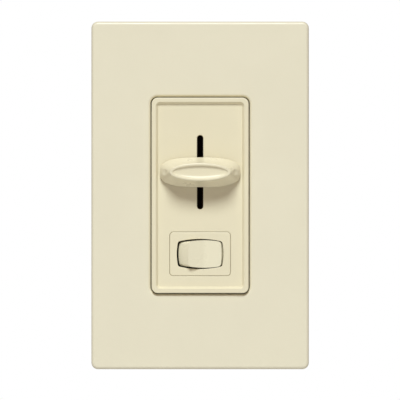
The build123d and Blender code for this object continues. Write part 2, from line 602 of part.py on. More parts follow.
with BuildPart() as rocker_surround:
    slab(SWITCH_BACK, PANEL_BACK - 0.05, SWITCH_WIDTH, SWITCH_LENGTH, 0.8, ((0, SWITCH_Z),))
    slab(PANEL_BACK - 0.05, SWITCH_FRONT, INSERT_WIDTH, SWITCH_LENGTH, INSERT_CORNER_R, ((0, SWITCH_Z),))
    fillet(edges_at(rocker_surround, SWITCH_FRONT), SWITCH_EDGE_R)
    with BuildSketch(Plane(origin=(0, -LIP_BACK, SWITCH_Z), x_dir=(1, 0, 0), z_dir=(0, -1, 0))):
        barrel(OPENING_HALF, OPENING_SAG, 0.9)
    extrude(amount=LIP, mode=Mode.SUBTRACT)
    front_edges = edges_at(rocker_surround, SWITCH_FRONT, OPENING_HALF[0] + 0.1)
    fillet(front_edges.filter_by(lambda edge: abs(edge.center().Z - SWITCH_Z) < OPENING_HALF[1] + 0.1), 0.15)
    with BuildSketch(hinged(PIVOT_HEIGHT, SWITCH_Z + CAVITY_HALF_TALL)):
        Circle(CAVITY_R)
        with Locations((0, bay_top - CAVITY_R)):
            Rectangle(2 * CAVITY_R, 2 * CAVITY_R, mode=Mode.INTERSECT)
    extrude(amount=2 * CAVITY_HALF_TALL, mode=Mode.SUBTRACT)
    slab(SWITCH_BACK, PIVOT_HEIGHT, 2 * CAVITY_R, 2 * CAVITY_HALF_TALL, centres=((0, SWITCH_Z),),
         mode=Mode.SUBTRACT)
    with BuildSketch(hinged(PIVOT_HEIGHT, SWITCH_Z + SWITCH_LENGTH / 2)):
        Circle(PIN_R + FIT)
    extrude(amount=SWITCH_LENGTH, mode=Mode.SUBTRACT)
rocker_surround.part.label = "rocker_surround"
export_step(rocker_surround.part, "parts/rocker_surround.step")

# Rocker button: hollow, with a shallow V across its front, two ears with pins and a tube for the spring
TUBE_R = 2.1
BORE_R = 1.5
TUBE_BACK = -3.6
EAR_HALF = 3.0
CREASE_R = 4.0
INSIDE_HALF_TALL = 3.4
ROCKER_LEVELS = ((SKIRT_W, SHOULDER_U), (SHOULDER_W, SHOULDER_U), (RIDGE_W, RIDGE_U),
                 (RIDGE_W + 1, RIDGE_U - 1))
crease_in = CREASE_W - ROCKER_WALL


def valley(ridge, crease, far_u, low):
    """Sketch of all that lies behind the V: from its crease the two sides rise through the ridges."""
    far_w = crease + (RIDGE_W - CREASE_W) / ridge * far_u
    with BuildLine() as outline:
        Polyline((0, crease), (far_u, far_w), (far_u, low), (-far_u, low), (-far_u, far_w), close=True)
    behind = make_face(outline.edges())
    fillet(behind.vertices().sort_by(lambda v: abs(v.X))[0], CREASE_R)


with BuildPart() as rocker_button:
    for w, half_u in ROCKER_LEVELS:
        sag = (ROCKER_SAG[0], ROCKER_SAG[1] * half_u / SHOULDER_U)
        with BuildSketch(facing(PIVOT_HEIGHT, SWITCH_Z, ROCKER_TILT).offset(w)):
            barrel((half_u, ROCKER_HALF_TALL), sag, ROCKER_CORNER_R)
    loft(ruled=True)
    with BuildSketch(hinged(PIVOT_HEIGHT, SWITCH_Z + SWITCH_LENGTH, ROCKER_TILT)):
        valley(RIDGE_U, CREASE_W, 2 * RIDGE_U, -ROCKER_RADIUS)
    extrude(amount=2 * SWITCH_LENGTH, mode=Mode.INTERSECT)
    with BuildSketch(hinged(PIVOT_HEIGHT, SWITCH_Z + INSIDE_HALF_TALL, ROCKER_TILT)):
        valley(RIDGE_U, crease_in, 2 * RIDGE_U, SKIRT_W)
        inside = [(SHOULDER_U - ROCKER_WALL, SKIRT_W - 1), (SHOULDER_U - ROCKER_WALL, SHOULDER_W - 0.3),
                  (RIDGE_U - ROCKER_WALL, RIDGE_W), (ROCKER_WALL - RIDGE_U, RIDGE_W),
                  (ROCKER_WALL - SHOULDER_U, SHOULDER_W - 0.3), (ROCKER_WALL - SHOULDER_U, SKIRT_W - 1)]
        with BuildLine():
            Polyline(*inside, close=True)
        make_face(mode=Mode.INTERSECT)
    extrude(amount=2 * INSIDE_HALF_TALL, mode=Mode.SUBTRACT)
    for z in (-INSIDE_HALF_TALL, ROCKER_HALF_TALL - 0.2):
        with BuildSketch(hinged(PIVOT_HEIGHT, SWITCH_Z + z, ROCKER_TILT)) as ear:
            with Locations((0, SKIRT_W / 2 + 0.3)):
                Rectangle(2 * EAR_HALF, SKIRT_W + 0.6)
            Circle(EAR_HALF)
        extrude(ear.sketch, amount=ROCKER_HALF_TALL - INSIDE_HALF_TALL - 0.2)
    for z in (-INSIDE_HALF_TALL, PIN_REACH):
        with BuildSketch(hinged(PIVOT_HEIGHT, SWITCH_Z + z, ROCKER_TILT)) as pin:
            Circle(PIN_R)
        extrude(pin.sketch, amount=PIN_REACH - INSIDE_HALF_TALL)
    with BuildSketch(facing(PIVOT_HEIGHT, SWITCH_Z, ROCKER_TILT).offset(TUBE_BACK)) as tube:
        Circle(TUBE_R)
    extrude(tube.sketch, amount=crease_in + 0.8 - TUBE_BACK)
    with BuildSketch(facing(PIVOT_HEIGHT, SWITCH_Z, ROCKER_TILT).offset(TUBE_BACK)) as bore:
        Circle(BORE_R)
    extrude(bore.sketch, amount=6.0 - TUBE_BACK, mode=Mode.SUBTRACT)
rocker_button.part.label = "rocker_button"
export_step(rocker_button.part, "parts/rocker_button.step")

# Plunger and its spring, in the rocker's tube
PLUNGER_TOP = -1.0
SPRING_WIRE_R = 0.17
SPRING_R = 1.15
with BuildPart() as rocker_plunger:
    with BuildSketch(facing(PIVOT_HEIGHT, SWITCH_Z, ROCKER_TILT).offset(PLUNGER_TOP)):
        Circle(PLUNGER_R)
    extrude(amount=-(PLUNGER_REACH + PLUNGER_TOP))
    fillet(rocker_plunger.edges().sort_by(Axis.Y)[-1], 1.1)
rocker_plunger.part.label = "rocker_plunger"
export_step(rocker_plunger.part, "parts/rocker_plunger.step")

SPRING_LOW = PLUNGER_TOP + SPRING_WIRE_R + 0.02
SPRING_HIGH = 6.0 - SPRING_WIRE_R - 0.02
with BuildPart() as rocker_spring:
    seat = facing(PIVOT_HEIGHT, SWITCH_Z, ROCKER_TILT).offset(SPRING_LOW)
    with BuildLine() as coil:
        Helix(pitch=0.85, height=SPRING_HIGH - SPRING_LOW, radius=SPRING_R, center=seat.origin,
              direction=seat.z_dir)
    with BuildSketch(Plane(origin=coil.line @ 0, z_dir=coil.line % 0)):
        Circle(SPRING_WIRE_R)
    sweep(is_frenet=True)
rocker_spring.part.label = "rocker_spring"
export_step(rocker_spring.part, "parts/rocker_spring.step")

# Rocking blade, tipped so that its left-hand contact is closed
BLADE_HALF = 6.5
BLADE_HALF_TALL = 2.1
under = BLADE_TOP - BLADE_THICKNESS
with BuildPart() as contact_blade:
    with BuildSketch(hinged(BLADE_AXIS, SWITCH_Z + BLADE_HALF_TALL, -BLADE_TILT)):
        with Locations((0, (BLADE_TOP + under) / 2)):
            Rectangle(2 * BLADE_HALF, BLADE_THICKNESS)
        for x in (-1.1, 1.1):
            with Locations((x, under / 2 + 0.1)):
                Rectangle(0.5, under + 0.2)
    extrude(amount=2 * BLADE_HALF_TALL)
contact_blade.part.label = "contact_blade"
export_step(contact_blade.part, "parts/contact_blade.step")

with BuildPart() as moving_contact:
    with BuildSketch(facing(BLADE_AXIS, SWITCH_Z, -BLADE_TILT).offset(under)):
        with Locations((-CONTACT_X, 0)):
            Circle(1.2)
    extrude(amount=-0.5)
moving_contact.part.label = "moving_contact"
export_step(moving_contact.part, "parts/moving_contact.step")

# Base of the switch, with a stop for the open side, and the two terminals that stand on it
BASE_FRONT = SWITCH_BACK - 0.05
PAD_FRONT = BASE_FRONT + 0.5
FIXED_TOP = BLADE_AXIS - 0.63
with BuildPart() as switch_base:
    slab(BOARD_FRONT, BASE_FRONT, SWITCH_WIDTH, SWITCH_LENGTH, 0.8, ((0, SWITCH_Z),))
    slab(BASE_FRONT, BLADE_AXIS - 0.3, 2.0, 3.0, centres=((CONTACT_X, SWITCH_Z),))
    disc(BOARD_FRONT, BASE_FRONT, HOLE_R, ((0, SWITCH_Z), (-CONTACT_X, SWITCH_Z)), Mode.SUBTRACT)
switch_base.part.label = "switch_base"
export_step(switch_base.part, "parts/switch_base.step")

FULCRUM_R = 0.45
with BuildPart() as centre_terminal:
    slab(BASE_FRONT, PAD_FRONT, 3.6, 6.4, centres=((0, SWITCH_Z),))
    slab(PAD_FRONT, BLADE_AXIS + 0.9, 2.0, 0.6, centres=((0, SWITCH_Z - 2.9), (0, SWITCH_Z + 2.9)))
    with BuildSketch(hinged(BLADE_AXIS, SWITCH_Z + 3.0)):
        Circle(FULCRUM_R)
    extrude(amount=6.0)
    disc(BOARD_BACK - 1.0, BASE_FRONT, LEAD_R, ((0, SWITCH_Z),))
centre_terminal.part.label = "centre_terminal"
export_step(centre_terminal.part, "parts/centre_terminal.step")

with BuildPart() as fixed_terminal:
    slab(BASE_FRONT, PAD_FRONT, 3.2, 4.4, centres=((-CONTACT_X, SWITCH_Z),))
    disc(BOARD_BACK - 1.0, BASE_FRONT, LEAD_R, ((-CONTACT_X, SWITCH_Z),))
fixed_terminal.part.label = "fixed_terminal"
export_step(fixed_terminal.part, "parts/fixed_terminal.step")

with BuildPart() as fixed_contact:
    disc(PAD_FRONT, FIXED_TOP, 1.2, ((-CONTACT_X, SWITCH_Z),))
fixed_contact.part.label = "fixed_contact"
export_step(fixed_contact.part, "parts/fixed_contact.step")

# ---- Circuit board and its parts ----

BRACKET_HOLES = [(s * (BOARD_WIDTH / 2), TERMINAL_Z) for s in (-1, 1)]
CHOKE_PINS = [(CHOKE_AT[0] + 2.0, CHOKE_AT[1] + s * 8.4) for s in (-1, 1)]
FILM_PINS = [(FILM_AT[0], FILM_AT[1] + s * 5.0) for s in (-1, 1)]
TIMING_PINS = [(x + s * 2.5, z) for x, z in TIMING_AT for s in (-1, 1)]
RESISTOR_PINS = [(x + s * 5.0, z) for x, z in RESISTOR_AT for s in (-1, 1)]
DIAC_PINS = [(DIAC_AT[0] + s * 3.8, DIAC_AT[1]) for s in (-1, 1)]
TRIAC_LEGS = [(TRIAC_X + s * TRIAC_LEG_PITCH, TRIAC_LEG_Z) for s in (-1, 0, 1)]
SWITCH_PINS = [(0, SWITCH_Z), (-CONTACT_X, SWITCH_Z)]

with BuildPart() as circuit_board:
    slab(BOARD_BACK, BOARD_FRONT, BOARD_WIDTH, BOARD_LENGTH, 0.8)
    slab(BOARD_BACK, BOARD_FRONT, 11.0, 11.0, 0.8, corners(BOARD_WIDTH / 2, BOARD_LENGTH / 2), Mode.SUBTRACT)
    slab(BOARD_BACK, BOARD_FRONT, 2.2, 3.2, centres=BRACKET_HOLES, mode=Mode.SUBTRACT)
    disc(BOARD_BACK, BOARD_FRONT, HOLE_R, CHOKE_PINS + FILM_PINS + TIMING_PINS + RESISTOR_PINS + DIAC_PINS
         + TRIAC_LEGS + SWITCH_PINS + list(POT_LEGS), Mode.SUBTRACT)
circuit_board.part.label = "circuit_board"
export_step(circuit_board.part, "parts/circuit_board.step")

# Choke: a ring core, wound most of the way round
CORE_HALF = (2.3, 3.7)
CORE_MID_R = 6.9
WINDING_WALL = 2.0
CHOKE_MID = CHOKE_FRONT - CORE_HALF[1] - WINDING_WALL
WINDING_ARC = 300
LEAD_TOP = BOARD_FRONT - 0.05

with BuildPart() as choke_core:
    with BuildSketch(at(CHOKE_MID - CORE_HALF[1])):
        with Locations(CHOKE_AT):
            Circle(CORE_MID_R + CORE_HALF[0])
            Circle(CORE_MID_R - CORE_HALF[0], mode=Mode.SUBTRACT)
    extrude(amount=2 * CORE_HALF[1])
    chamfer(choke_core.edges().filter_by(GeomType.CIRCLE), 0.4)
choke_core.part.label = "choke_core"
export_step(choke_core.part, "parts/choke_core.step")

with BuildPart() as choke_winding:
    axis = Axis((CHOKE_AT[0], 0, CHOKE_AT[1]), (0, 1, 0))
    start = Plane(origin=(CHOKE_AT[0], -CHOKE_MID, CHOKE_AT[1]), x_dir=(cos(pi / 6), 0, sin(pi / 6)),
                  z_dir=(sin(pi / 6), 0, -cos(pi / 6)))
    with BuildSketch(start):
        with Locations((CORE_MID_R, 0)):
            RectangleRounded(2 * (CORE_HALF[0] + WINDING_WALL), 2 * (CORE_HALF[1] + WINDING_WALL), 1.8)
            Rectangle(2 * CORE_HALF[0] + 0.04, 2 * CORE_HALF[1] + 0.04, mode=Mode.SUBTRACT)
    revolve(axis=axis, revolution_arc=WINDING_ARC)
    disc(CHOKE_FRONT - 0.8, LEAD_TOP, LEAD_R, CHOKE_PINS)
choke_winding.part.label = "choke_winding"
export_step(choke_winding.part, "parts/choke_winding.step")

with BuildPart() as film_capacitor:
    slab(BOARD_BACK - 12.2, BOARD_BACK - 0.2, 6.0, 13.0, 0.5, (FILM_AT,))
    disc(BOARD_BACK - 0.3, LEAD_TOP, LEAD_R, FILM_PINS)
film_capacitor.part.label = "film_capacitor"
export_step(film_capacitor.part, "parts/film_capacitor.step")

with BuildPart() as timing_capacitors:
    slab(BOARD_BACK - 6.7, BOARD_BACK - 0.2, 7.2, 2.6, 0.4, TIMING_AT)
    disc(BOARD_BACK - 0.3, LEAD_TOP, LEAD_R, TIMING_PINS)
timing_capacitors.part.label = "timing_capacitors"
export_step(timing_capacitors.part, "parts/timing_capacitors.step")


def axial(centre, body_r, body_half, pin_half):
    """Part lying along X behind the board, its two leads bent forward into their holes."""
    mid = BOARD_BACK - body_r - 0.2
    for end in ENDS:
        with BuildLine() as run:
            FilletPolyline((centre[0], -mid, centre[1]), (centre[0] + end * pin_half, -mid, centre[1]),
                           (centre[0] + end * pin_half, -LEAD_TOP, centre[1]), radius=0.5)
        with BuildSketch(Plane(origin=run.line @ 0, z_dir=run.line % 0)) as wire:
            Circle(LEAD_R * 0.8)
        sweep(wire.sketch, path=run.line)
    with BuildSketch(Plane(origin=(centre[0] - body_half, -mid, centre[1]), z_dir=(1, 0, 0))) as body:
        Circle(body_r)
    extrude(body.sketch, amount=2 * body_half)


with BuildPart() as resistors:
    for centre in RESISTOR_AT:
        axial(centre, 1.15, 3.2, 5.0)
resistors.part.label = "resistors"
export_step(resistors.part, "parts/resistors.step")

with BuildPart() as diac:
    axial(DIAC_AT, 1.0, 2.0, 3.8)
diac.part.label = "diac"
export_step(diac.part, "parts/diac.step")

# Triac: flat against the strap with a sheet of insulation between, held by one rivet
TRIAC_TOP = 18.2
TRIAC_SPLIT = 11.4
TRIAC_FOOT = 2.6
TAB_FRONT = STRAP_BACK - 0.25
TAB_BACK = TAB_FRONT - 1.3
TRIAC_WIDTH = 10.0
LEG_BACK = TAB_BACK - 1.2

with BuildPart() as triac_tab:
    slab(TAB_BACK, TAB_FRONT, TRIAC_WIDTH, TRIAC_TOP - TRIAC_FOOT, 0.4,
         ((TRIAC_X, (TRIAC_TOP + TRIAC_FOOT) / 2),))
    disc(TAB_BACK, TAB_FRONT, TAPPED_R + FIT, ((TRIAC_X, TRIAC_RIVET_Z),), Mode.SUBTRACT)
    for x, z in TRIAC_LEGS:
        with BuildLine() as run:
            FilletPolyline((x, -LEG_BACK, TRIAC_FOOT + 0.5), (x, -LEG_BACK, z), (x, 1.0 - BOARD_BACK, z),
                           radius=0.8)
        with BuildSketch(Plane(origin=run.line @ 0, z_dir=run.line % 0)) as leg:
            Circle(LEAD_R)
        sweep(leg.sketch, path=run.line)
triac_tab.part.label = "triac_tab"
export_step(triac_tab.part, "parts/triac_tab.step")

with BuildPart() as triac_body:
    slab(TAB_BACK - 3.0, TAB_BACK, TRIAC_WIDTH, TRIAC_SPLIT - TRIAC_FOOT, 0.3,
         ((TRIAC_X, (TRIAC_SPLIT + TRIAC_FOOT) / 2),))
    for x, _ in TRIAC_LEGS:
        with BuildSketch(Plane(origin=(x, -LEG_BACK, TRIAC_FOOT), z_dir=(0, 0, 1))) as socket:
            Circle(LEAD_R)
        extrude(socket.sketch, amount=0.5, mode=Mode.SUBTRACT)
triac_body.part.label = "triac_body"
export_step(triac_body.part, "parts/triac_body.step")

with BuildPart() as triac_insulator:
    slab(TAB_FRONT, STRAP_BACK, 11.5, 20.0, 0.5, ((TRIAC_X, 11.0),))
    disc(TAB_FRONT, STRAP_BACK, TAPPED_R + FIT, ((TRIAC_X, TRIAC_RIVET_Z),), Mode.SUBTRACT)
triac_insulator.part.label = "triac_insulator"
export_step(triac_insulator.part, "parts/triac_insulator.step")

with BuildPart() as triac_rivet:
    rivet = ((TRIAC_X, TRIAC_RIVET_Z),)
    disc(STRAP_FRONT, STRAP_FRONT + 0.9, 2.4, rivet)
    fillet(edges_at(triac_rivet, STRAP_FRONT + 0.9), 0.6)
    disc(TAB_BACK, STRAP_FRONT, TAPPED_R, rivet)
    disc(TAB_BACK - 0.9, TAB_BACK, 2.6, rivet)
triac_rivet.part.label = "triac_rivet"
export_step(triac_rivet.part, "parts/triac_rivet.step")

# ---- Rear case and wire terminals ----

POCKET_WALL = 1.6
RIB_AT = ((17.7, 22.0), (17.7, -24.0))
RIB_SIZE = (1.6, 2.0)
CASE_ROOT = CASE_BACK + 0.5
CASE_HOLE_R = 1.02
TAB_SLOT = 0.55
CASE_SCREW_TIP = -12.0
block_in = POCKET_FLOOR - POCKET_WALL
block_out = CASE_WIDTH / 2 - CASE_WALL / 2

with BuildPart() as rear_case:
    slab(CASE_BACK, STRAP_BACK, CASE_WIDTH, CASE_LENGTH, 2.5)
    fillet(edges_at(rear_case, CASE_BACK), 1.2)
    slab(CASE_BACK + CASE_WALL, STRAP_BACK, CASE_WIDTH - 2 * CASE_WALL, CASE_LENGTH - 2 * CASE_WALL, 1.2,
         mode=Mode.SUBTRACT)
    disc(CASE_ROOT, STRAP_BACK, POST_R, corners(*POST_AT))
    for x, z in RIB_AT:
        slab(CASE_ROOT, BOARD_BACK - 0.02, *RIB_SIZE, centres=((-x, z), (x, z)))
    for end in ENDS:
        slab(CASE_ROOT, POCKET_FRONT + POCKET_WALL, block_out - block_in, 2 * (POCKET_HALF + POCKET_WALL),
             centres=((end * (block_out + block_in) / 2, TERMINAL_Z),))
        slab(POCKET_BACK, POCKET_FRONT, CASE_WIDTH / 2 - POCKET_FLOOR, 2 * POCKET_HALF,
             centres=((end * (CASE_WIDTH / 2 + POCKET_FLOOR) / 2, TERMINAL_Z),), mode=Mode.SUBTRACT)
        slab(POCKET_FRONT, POCKET_FRONT + POCKET_WALL, 2 * TAB_SLOT, 3.0,
             centres=((end * (POCKET_FLOOR + TAB_SLOT), TERMINAL_Z),), mode=Mode.SUBTRACT)
    with BuildSketch(Plane(origin=(CASE_WIDTH / 2, -TERMINAL_HEIGHT, TERMINAL_Z), z_dir=(-1, 0, 0))):
        Circle(TAPPED_R)
    extrude(amount=CASE_WIDTH, mode=Mode.SUBTRACT)
    disc(CASE_SCREW_TIP - 0.5, STRAP_BACK, CASE_HOLE_R, corners(*POST_AT), Mode.SUBTRACT)
rear_case.part.label = "rear_case"
export_step(rear_case.part, "parts/rear_case.step")

# Case screws: small countersunk heads, level with the front of the strap
with BuildPart() as case_screws:
    for post in corners(*POST_AT):
        with BuildSketch(at(STRAP_FRONT - 0.02)):
            with Locations(post):
                Circle(1.95)
        extrude(amount=-0.75, taper=45)
    disc(CASE_SCREW_TIP, STRAP_FRONT - 0.7, CASE_HOLE_R - 0.02, corners(*POST_AT))
    slab(STRAP_FRONT - 0.5, STRAP_FRONT, 4.0, 0.5, centres=corners(*POST_AT), mode=Mode.SUBTRACT)
case_screws.part.label = "case_screws"
export_step(case_screws.part, "parts/case_screws.step")

# Wire terminals: on each side a tapped plate with a tab to the board, a clamp and a slotted screw
PLATE_SHEET = 1.0
CLAMP_INNER = POCKET_FLOOR + PLATE_SHEET + 0.1
CLAMP_SHEET = 0.8
HEAD_INNER = CLAMP_INNER + CLAMP_SHEET
HEAD_OUTER = HEAD_INNER + 2.1
TERMINAL_HEAD_R = 3.3
TERMINAL_SCREW_TIP = 12.8
terminal_axes = [Plane(origin=(s * CASE_WIDTH / 2, -TERMINAL_HEIGHT, TERMINAL_Z), x_dir=(0, 0, 1),
                       z_dir=(s, 0, 0)) for s in ENDS]

with BuildPart() as terminal_plates:
    for axis_plane in terminal_axes:
        with BuildSketch(axis_plane.offset(POCKET_FLOOR + FIT - CASE_WIDTH / 2)) as plate:
            Rectangle(9.0, 10.0)
            Circle(TAPPED_R, mode=Mode.SUBTRACT)
        extrude(plate.sketch, amount=PLATE_SHEET - FIT)
    for end in ENDS:
        slab(TERMINAL_HEIGHT + 4.5, BOARD_FRONT + 0.6, 0.7, 2.4,
             centres=((end * (POCKET_FLOOR + 0.4), TERMINAL_Z),))
terminal_plates.part.label = "terminal_plates"
export_step(terminal_plates.part, "parts/terminal_plates.step")

with BuildPart() as terminal_clamps:
    for axis_plane in terminal_axes:
        with BuildSketch(axis_plane.offset(CLAMP_INNER - CASE_WIDTH / 2)) as clamp:
            RectangleRounded(8.4, 8.4, 0.6)
            Circle(TAPPED_R + FIT, mode=Mode.SUBTRACT)
        extrude(clamp.sketch, amount=CLAMP_SHEET)
terminal_clamps.part.label = "terminal_clamps"
export_step(terminal_clamps.part, "parts/terminal_clamps.step")

with BuildPart() as terminal_screws:
    for axis_plane in terminal_axes:
        with BuildSketch(axis_plane.offset(HEAD_INNER - CASE_WIDTH / 2)) as head:
            Circle(TERMINAL_HEAD_R)
        extrude(head.sketch, amount=HEAD_OUTER - HEAD_INNER)
    rounds = terminal_screws.edges().filter_by(GeomType.CIRCLE)
    chamfer(rounds.filter_by(lambda edge: abs(edge.arc_center.X) > HEAD_OUTER - 0.01), 0.35)
    for axis_plane in terminal_axes:
        with BuildSketch(axis_plane.offset(HEAD_INNER - CASE_WIDTH / 2)) as shank:
            Circle(THREAD_R)
        extrude(shank.sketch, amount=TERMINAL_SCREW_TIP - HEAD_INNER)
        with BuildSketch(axis_plane.offset(HEAD_OUTER - CASE_WIDTH / 2)) as slit:
            Rectangle(SLIT_WIDTH, 3 * TERMINAL_HEAD_R)
        extrude(slit.sketch, amount=-1.1, mode=Mode.SUBTRACT)
terminal_screws.part.label = "terminal_screws"
export_step(terminal_screws.part, "parts/terminal_screws.step")
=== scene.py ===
import math

import bmesh
import bpy
from mathutils import Matrix, Vector


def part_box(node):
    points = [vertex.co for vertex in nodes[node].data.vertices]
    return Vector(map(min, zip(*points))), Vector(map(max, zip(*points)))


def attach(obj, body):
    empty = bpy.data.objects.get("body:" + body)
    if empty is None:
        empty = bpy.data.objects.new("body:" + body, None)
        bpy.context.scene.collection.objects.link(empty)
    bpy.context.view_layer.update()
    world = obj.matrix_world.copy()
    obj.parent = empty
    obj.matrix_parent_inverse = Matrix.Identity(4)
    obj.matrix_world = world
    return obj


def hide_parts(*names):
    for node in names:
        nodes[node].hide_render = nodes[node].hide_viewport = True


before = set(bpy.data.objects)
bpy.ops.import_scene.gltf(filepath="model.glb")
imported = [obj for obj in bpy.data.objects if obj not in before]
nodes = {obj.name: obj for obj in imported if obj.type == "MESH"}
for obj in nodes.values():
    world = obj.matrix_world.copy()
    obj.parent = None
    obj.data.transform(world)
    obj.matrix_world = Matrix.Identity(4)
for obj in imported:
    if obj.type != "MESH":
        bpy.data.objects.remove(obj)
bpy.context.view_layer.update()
scene = bpy.context.scene

# Lengths are in millimetres, except where they are said to be in metres, and MM turns them into metres
MM = 0.001


# Material tools

# Range that holds nearly all the values of a noise texture
NOISE_LOW = 0.3
NOISE_HIGH = 0.7

# Places of the Mix node's factor, colours and mixed colour among its sockets
MIX_FACTOR = 0
MIX_COLORS = (6, 7)
MIX_RESULT = 2


def linear(*rgb):
    """Linear colour of an 8-bit sRGB one, by the curve of the sRGB standard."""
    shares = [c / 255 for c in rgb]
    return tuple(c / 12.92 if c <= 0.04045 else ((c + 0.055) / 1.055) ** 2.4 for c in shares)


def shade(rgb, share):
    """The colour made darker or lighter, as RGBA."""
    return tuple(min(1.0, c * share) for c in rgb) + (1.0,)


class Nodes:
    """Short hand for building a material's node tree."""

    def __init__(self, name):
        self.material = bpy.data.materials.new(name)
        self.material.use_nodes = True
        self.tree = self.material.node_tree
        self.shader = self.tree.nodes["Principled BSDF"]
        self.coords = self.tree.nodes.new("ShaderNodeTexCoord").outputs["Object"]

    def link(self, output, socket):
        self.tree.links.new(output, socket)

    def stretched(self, scale):
        """Object coordinates, each multiplied by its own number."""
        node = self.tree.nodes.new("ShaderNodeMapping")
        node.inputs["Scale"].default_value = scale
        self.link(self.coords, node.inputs["Vector"])
        return node.outputs["Vector"]

    def noise(self, size, detail, vector=None, rough=0.5):
        """Noise whose features are about this size."""
        node = self.tree.nodes.new("ShaderNodeTexNoise")
        node.inputs["Scale"].default_value = 1 / (size * MM)
        node.inputs["Detail"].default_value = detail
        node.inputs["Roughness"].default_value = rough
        self.link(vector or self.coords, node.inputs["Vector"])
        return node.outputs["Fac"]

    def span(self, value, low, high, start=NOISE_LOW, stop=NOISE_HIGH):
        """The value, with its range from start to stop spread from low to high."""
        node = self.tree.nodes.new("ShaderNodeMapRange")
        node.inputs["From Min"].default_value = start
        node.inputs["From Max"].default_value = stop
        node.inputs["To Min"].default_value = low
        node.inputs["To Max"].default_value = high
        self.link(value, node.inputs["Value"])
        return node.outputs["Result"]

    def mix(self, factor, first, second):
        """Mixture of two colours, each an RGBA tuple or another node's output."""
        node = self.tree.nodes.new("ShaderNodeMix")
        node.data_type = "RGBA"
        self.link(factor, node.inputs[MIX_FACTOR])
        for color, place in zip((first, second), MIX_COLORS):
            if isinstance(color, tuple):
                node.inputs[place].default_value = color
            else:
                self.link(color, node.inputs[place])
        return node.outputs[MIX_RESULT]

    def add(self, first, second):
        """Sum of two outputs."""
        node = self.tree.nodes.new("ShaderNodeMath")
        node.operation = "ADD"
        self.link(first, node.inputs[0])
        self.link(second, node.inputs[1])
        return node.outputs[0]

    def bump(self, height, depth, strength, under=None):
        """Relief of about this depth, over the relief under it."""
        node = self.tree.nodes.new("ShaderNodeBump")
        node.inputs["Strength"].default_value = strength
        node.inputs["Distance"].default_value = depth * MM
        self.link(height, node.inputs["Height"])
        if under:
            self.link(under, node.inputs["Normal"])
        return node.outputs["Normal"]

    def finish(self, color, rough, normal, **fixed):
        """The material, with these outputs in its shader and the fixed values on the shader's own sockets."""
        self.link(color, self.shader.inputs["Base Color"])
        self.link(rough, self.shader.inputs["Roughness"])
        self.link(normal, self.shader.inputs["Normal"])
        for key, value in fixed.items():
            self.shader.inputs[key].default_value = value
        return self.material


# Moulded plastic
CLOUD_SIZE = 22
CLOUD_LIGHT_SHARE = 0.6
FLECK_SIZE = 0.6
FLECK_SPAN = (0.45, 0.8)
SATIN_SIZE = 6
SATIN_SPREAD = (-0.05, 0.07)
FLOW_SIZE = 9
FLOW_DEPTH = 0.02
FLOW_STRENGTH = 0.25
GRAIN_STRENGTH = 0.8
PLASTIC_IOR = 1.5


def plastic(name, rgb, rough, grain, depth, tint, flecks=0.35):
    """Moulded plastic: cloudy colour with flecks, faint flow marks, satin patches and a fine mould grain.

    Grain and depth are the size and the relief of the mould grain, tint is how far the colour drifts, and
    flecks is how strongly the darker flecks show.
    """
    n = Nodes(name)
    cloud = n.noise(CLOUD_SIZE, detail=4)
    fleck = n.noise(FLECK_SIZE, detail=2)
    color = n.mix(n.span(cloud, 0, 1), shade(rgb, 1 - tint), shade(rgb, 1 + tint * CLOUD_LIGHT_SHARE))
    color = n.mix(n.span(fleck, 0, flecks, *FLECK_SPAN), color, shade(rgb, 1 - 2 * tint))
    satin = n.span(n.noise(SATIN_SIZE, detail=4), rough + SATIN_SPREAD[0], rough + SATIN_SPREAD[1])
    flow = n.bump(n.noise(FLOW_SIZE, detail=2), FLOW_DEPTH, FLOW_STRENGTH)
    grained = n.bump(n.noise(grain, detail=3), depth, GRAIN_STRENGTH, flow)
    return n.finish(color, satin, grained, IOR=PLASTIC_IOR)


# Metal
SCRATCH_SIZE = 0.25
SCRATCH_BREAKUP = 0.7
SCRATCH_SHADE = 0.8
SCRATCH_MIX = 0.4
SCRATCH_SPREAD = (-0.05, 0.05)
SCRATCH_STRENGTH = 0.7
STAIN_SIZE = 5
STAIN_SPREAD = (-0.06, 0.08)


def metal(name, rgb, rough, stretch=(1, 1, 1), depth=0.003, stain=0.1):
    """Metal with drawn or tumbled scratches and slightly duller patches.

    A small number in stretch draws the scratches out along its axis, depth is their relief, and stain is how
    much darker one end of the patches' range is.
    """
    n = Nodes(name)
    lines = n.noise(SCRATCH_SIZE, detail=4, vector=n.stretched(stretch), rough=SCRATCH_BREAKUP)
    patch = n.noise(STAIN_SIZE, detail=5)
    color = n.mix(n.span(patch, 0, 1), shade(rgb, 1 - stain), shade(rgb, 1))
    color = n.mix(n.span(lines, 0, SCRATCH_MIX), color, shade(rgb, SCRATCH_SHADE))
    dull = n.span(patch, rough + STAIN_SPREAD[0], rough + STAIN_SPREAD[1])
    worn = n.add(dull, n.span(lines, *SCRATCH_SPREAD))
    return n.finish(color, worn, n.bump(lines, depth, SCRATCH_STRENGTH), Metallic=1.0)


# Ivory plastics of the trim
IVORY = linear(236, 229, 205)
FACE_IVORY = linear(236, 227, 198)
plate_look = plastic("plate_plastic", IVORY, rough=0.36, grain=0.35, depth=0.006, tint=0.012)
face_look = plastic("face_plastic", FACE_IVORY, rough=0.38, grain=0.25, depth=0.005, tint=0.012)
knob_look = plastic("knob_plastic", FACE_IVORY, rough=0.3, grain=0.25, depth=0.002, tint=0.012, flecks=0.1)
rocker_look = plastic("rocker_plastic", linear(240, 233, 206), rough=0.28, grain=0.25, depth=0.002,
                      tint=0.008, flecks=0.1)
surround_look = plastic("surround_plastic", FACE_IVORY, rough=0.36, grain=0.25, depth=0.004, tint=0.012)
adapter_look = plastic("adapter_plastic", linear(226, 219, 197), rough=0.5, grain=0.2, depth=0.01, tint=0.03)

